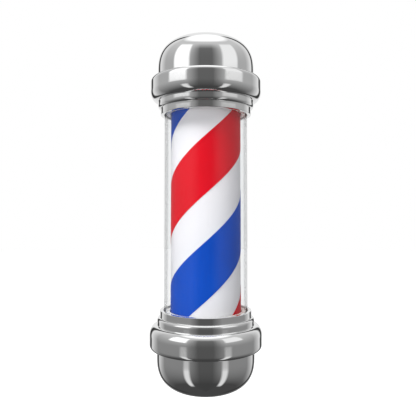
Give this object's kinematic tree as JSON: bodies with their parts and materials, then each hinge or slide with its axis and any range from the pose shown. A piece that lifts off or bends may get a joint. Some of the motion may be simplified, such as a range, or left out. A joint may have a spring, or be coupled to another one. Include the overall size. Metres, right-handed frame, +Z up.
{
  "type": "barber pole light",
  "caption": "Wall-hung barber pole light: a clear tube between stepped chrome collars and domed ends, with a striped drum that a small motor turns round a lamp.",
  "frame": {"origin": "centre of the wall-hole rectangle on the wall face, level with the middle of the pole", "axes": "+Z up along the pole, +Y into the wall, the room side is -Y, +X to the right of someone facing the pole"},
  "size_m": [0.2, 0.22, 0.641],
  "materials": {
    "chrome_shell": "mirror chrome plating over spun metal",
    "cap_chrome": "mirror chrome plating",
    "clear_acrylic": "clear cast acrylic, polished, 3 mm wall",
    "black_rubber": "matt black rubber",
    "plate_steel": "zinc-plated sheet and tube, satin",
    "bracket_steel": "black powder coat, fine texture",
    "zinc_steel": "bright zinc plating",
    "bearing_steel": "ground bearing steel",
    "white_nylon": "moulded natural nylon",
    "lamp_aluminium": "extruded aluminium",
    "lamp_board": "white solder mask",
    "lamp_chip": "yellow phosphor under clear resin",
    "motor_can": "zinc-passivated can",
    "driver_plastic": "moulded white plastic, fine texture",
    "terminal_plastic": "moulded white nylon",
    "black_plastic": "moulded black nylon",
    "rocker_plastic": "polished black plastic",
    "terminal_brass": "tinned brass tabs",
    "red_wire": "red insulation",
    "white_wire": "white insulation",
    "blue_wire": "blue insulation",
    "sleeve_white": "white translucent drum sheet",
    "stripe_red": "red printed film, satin gloss",
    "stripe_blue": "blue printed film, satin gloss"
  },
  "bodies": {
    "housing": {"upper_dome": "chrome_shell", "upper_collar": "chrome_shell", "lower_collar": "chrome_shell", "lower_bowl": "chrome_shell", "clear_tube": "clear_acrylic", "tube_seats": "white_nylon", "tube_gaskets": "black_rubber", "dome_gaskets": "black_rubber", "upper_end_plate": "plate_steel", "lower_end_plate": "plate_steel", "plate_screws": "zinc_steel", "centre_pipe": "plate_steel", "pipe_nuts": "zinc_steel", "pipe_washers": "zinc_steel", "upper_standoff": "zinc_steel", "lower_standoff": "zinc_steel", "cap_screws": "cap_chrome", "cap_washers": "white_nylon", "bearing_spacer": "zinc_steel", "set_collars": "zinc_steel", "bearing_inners": "bearing_steel", "led_core": "lamp_aluminium", "led_boards": "lamp_board", "led_chips": "lamp_chip", "motor_case": "motor_can", "motor_screws": "zinc_steel", "led_driver": "driver_plastic", "driver_screws": "zinc_steel", "terminal_block": "terminal_plastic", "terminal_screws": "zinc_steel", "control_panel": "black_plastic", "panel_screws": "zinc_steel", "light_switch_case": "black_plastic", "spin_switch_case": "black_plastic", "switch_terminals": "terminal_brass", "gland_body": "black_plastic", "gland_seal": "black_rubber", "gland_nut": "black_plastic", "gland_locknut": "black_plastic", "upper_hanger_arm": "bracket_steel", "lower_hanger_arm": "bracket_steel", "upper_wall_angle": "bracket_steel", "lower_wall_angle": "bracket_steel", "hanger_screws": "zinc_steel", "bracket_bolts": "zinc_steel", "motor_wire": "red_wire", "lamp_wire": "white_wire", "switch_wires": "blue_wire"},
    "drum": {"drum_sleeve": "sleeve_white", "red_stripe": "stripe_red", "blue_stripe": "stripe_blue", "drum_upper_disc": "white_nylon", "drum_lower_disc": "white_nylon", "drum_gear": "white_nylon", "gear_screws": "zinc_steel", "bearing_outers": "bearing_steel", "bearing_balls": "bearing_steel"},
    "pinion": {"motor_pinion": "white_nylon"},
    "light_switch_rocker": {"light_rocker": "rocker_plastic"},
    "spin_switch_rocker": {"spin_rocker": "rocker_plastic"}
  },
  "joints": [
    {"name": "drum_spin", "type": "hinge", "parent": "housing", "child": "drum", "pos_m": [0, -0.12, 0], "axis": [0, 0, 1], "continuous": true},
    {"name": "pinion_spin", "type": "hinge", "parent": "housing", "child": "pinion", "pos_m": [-0.05, -0.12, -0.218], "axis": [0, 0, 1], "continuous": true},
    {"name": "light_switch_tilt", "type": "hinge", "parent": "housing", "child": "light_switch_rocker", "pos_m": [-0.021, -0.0485, -0.261], "axis": [1, 0, 0], "range_deg": [0, 24]},
    {"name": "spin_switch_tilt", "type": "hinge", "parent": "housing", "child": "spin_switch_rocker", "pos_m": [-0.003, -0.0485, -0.261], "axis": [1, 0, 0], "range_deg": [0, 24]}
  ],
  "couplings": [
    {"joint": "pinion_spin", "follows": "drum_spin", "ratio": -4}
  ]
}
